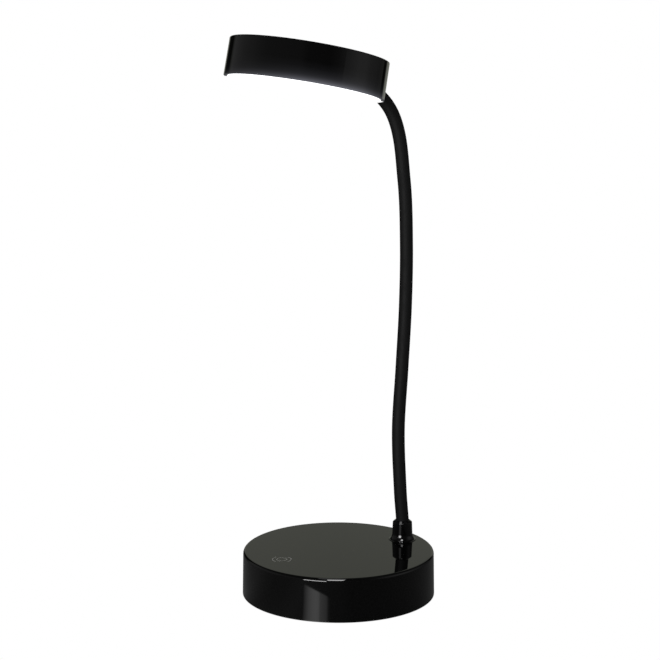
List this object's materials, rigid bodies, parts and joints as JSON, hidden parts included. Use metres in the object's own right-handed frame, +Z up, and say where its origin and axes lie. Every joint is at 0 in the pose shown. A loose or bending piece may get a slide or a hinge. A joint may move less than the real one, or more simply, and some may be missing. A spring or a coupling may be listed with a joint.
{
  "type": "gooseneck desk lamp",
  "caption": "Cordless desk lamp: round weighted base with touch key, bendable neck at the rear and a flat round head with a diffuser underneath.",
  "frame": {"origin": "centre of the foot pad's underside, on the table", "axes": "+Z up; the touch key and the head lie towards -Y, the neck's foot and the charging inlet towards +Y; +X is the user's right as they face the lamp"},
  "size_m": [0.125, 0.1356, 0.3561],
  "materials": {
    "gloss_black": "piano black, polished",
    "cover_black": "fine moulded grain",
    "pad_rubber": "matt foam rubber",
    "neck_sleeve": "satin heat-shrink sleeve",
    "coil_steel": "coiled steel tube",
    "plated_steel": "zinc plated",
    "ballast_steel": "bare plate",
    "nut_brass": "turned",
    "nickel": "nickel plated",
    "copper": "copper foil",
    "cradle_plastic": "moulded",
    "cell_wrap": "heat-shrink wrap over a metal can",
    "circuit_board": "solder mask",
    "chip_resin": "moulded resin",
    "ferrite": "sintered ferrite",
    "socket_plastic": "moulded",
    "red_wire": "PVC insulation",
    "white_wire": "PVC insulation",
    "mark_ink": "grey inlay, level with the top",
    "diffuser_white": "opal, lit",
    "led_board_white": "white solder mask on aluminium",
    "led_phosphor": "yellow phosphor in white frames"
  },
  "bodies": {
    "base": {"base_shell": "gloss_black", "bottom_cover": "cover_black", "foot_pad": "pad_rubber", "cover_screws": "plated_steel", "ballast_plate": "ballast_steel", "battery_cradle": "cradle_plastic", "battery_cell": "cell_wrap", "battery_tabs": "nickel", "battery_leads": "red_wire", "control_board": "circuit_board", "board_screws": "plated_steel", "control_chip": "chip_resin", "power_inductor": "ferrite", "lead_sockets": "socket_plastic", "usb_receptacle": "nickel", "usb_tongue": "chip_resin", "touch_electrode": "copper", "touch_board": "circuit_board", "touch_chip": "chip_resin", "touch_lead": "white_wire", "touch_mark": "mark_ink", "neck_ferrule": "gloss_black", "foot_stud": "plated_steel", "foot_washer": "plated_steel", "foot_nut": "nut_brass", "neck_sleeve_1": "neck_sleeve", "neck_coil_1": "coil_steel", "neck_lead_1": "white_wire"},
    "neck_2": {"neck_sleeve_2": "neck_sleeve", "neck_coil_2": "coil_steel", "neck_lead_2": "white_wire"},
    "neck_3": {"neck_sleeve_3": "neck_sleeve", "neck_coil_3": "coil_steel", "neck_lead_3": "white_wire"},
    "neck_4": {"neck_sleeve_4": "neck_sleeve", "neck_coil_4": "coil_steel", "neck_lead_4": "white_wire"},
    "neck_5": {"neck_sleeve_5": "neck_sleeve", "neck_coil_5": "coil_steel", "neck_lead_5": "white_wire"},
    "neck_6": {"neck_sleeve_6": "neck_sleeve", "neck_coil_6": "coil_steel", "neck_lead_6": "white_wire"},
    "neck_7": {"neck_sleeve_7": "neck_sleeve", "neck_coil_7": "coil_steel", "neck_lead_7": "white_wire"},
    "head": {"neck_sleeve_8": "neck_sleeve", "neck_coil_8": "coil_steel", "neck_lead_8": "white_wire", "head_stud": "plated_steel", "head_washer": "plated_steel", "head_nut": "nut_brass", "head_shell": "gloss_black", "diffuser": "diffuser_white", "led_board": "led_board_white", "leds": "led_phosphor", "led_board_screws": "plated_steel"}
  },
  "joints": [
    {"name": "neck_bend_1", "type": "hinge", "parent": "base", "child": "neck_2", "pos_m": [0, 0.04598, 0.06218], "axis": [1, 0, 0], "range_deg": [-30, 30]},
    {"name": "neck_sway_2", "type": "hinge", "parent": "neck_2", "child": "neck_3", "pos_m": [0, 0.0442, 0.10307], "axis": [0, 1, -0.007], "range_deg": [-30, 30]},
    {"name": "neck_bend_3", "type": "hinge", "parent": "neck_3", "child": "neck_4", "pos_m": [0, 0.04655, 0.14393], "axis": [1, 0, 0], "range_deg": [-30, 30]},
    {"name": "neck_sway_4", "type": "hinge", "parent": "neck_4", "child": "neck_5", "pos_m": [0, 0.04877, 0.1848], "axis": [0, 0.9995, -0.0323], "range_deg": [-30, 30]},
    {"name": "neck_bend_5", "type": "hinge", "parent": "neck_5", "child": "neck_6", "pos_m": [0, 0.04919, 0.22573], "axis": [1, 0, 0], "range_deg": [-30, 30]},
    {"name": "neck_sway_6", "type": "hinge", "parent": "neck_6", "child": "neck_7", "pos_m": [0, 0.04705, 0.2666], "axis": [0, 0.9925, 0.1219], "range_deg": [-30, 30]},
    {"name": "neck_bend_7", "type": "hinge", "parent": "neck_7", "child": "head", "pos_m": [0, 0.03924, 0.30678], "axis": [1, 0, 0], "range_deg": [-30, 30]}
  ]
}
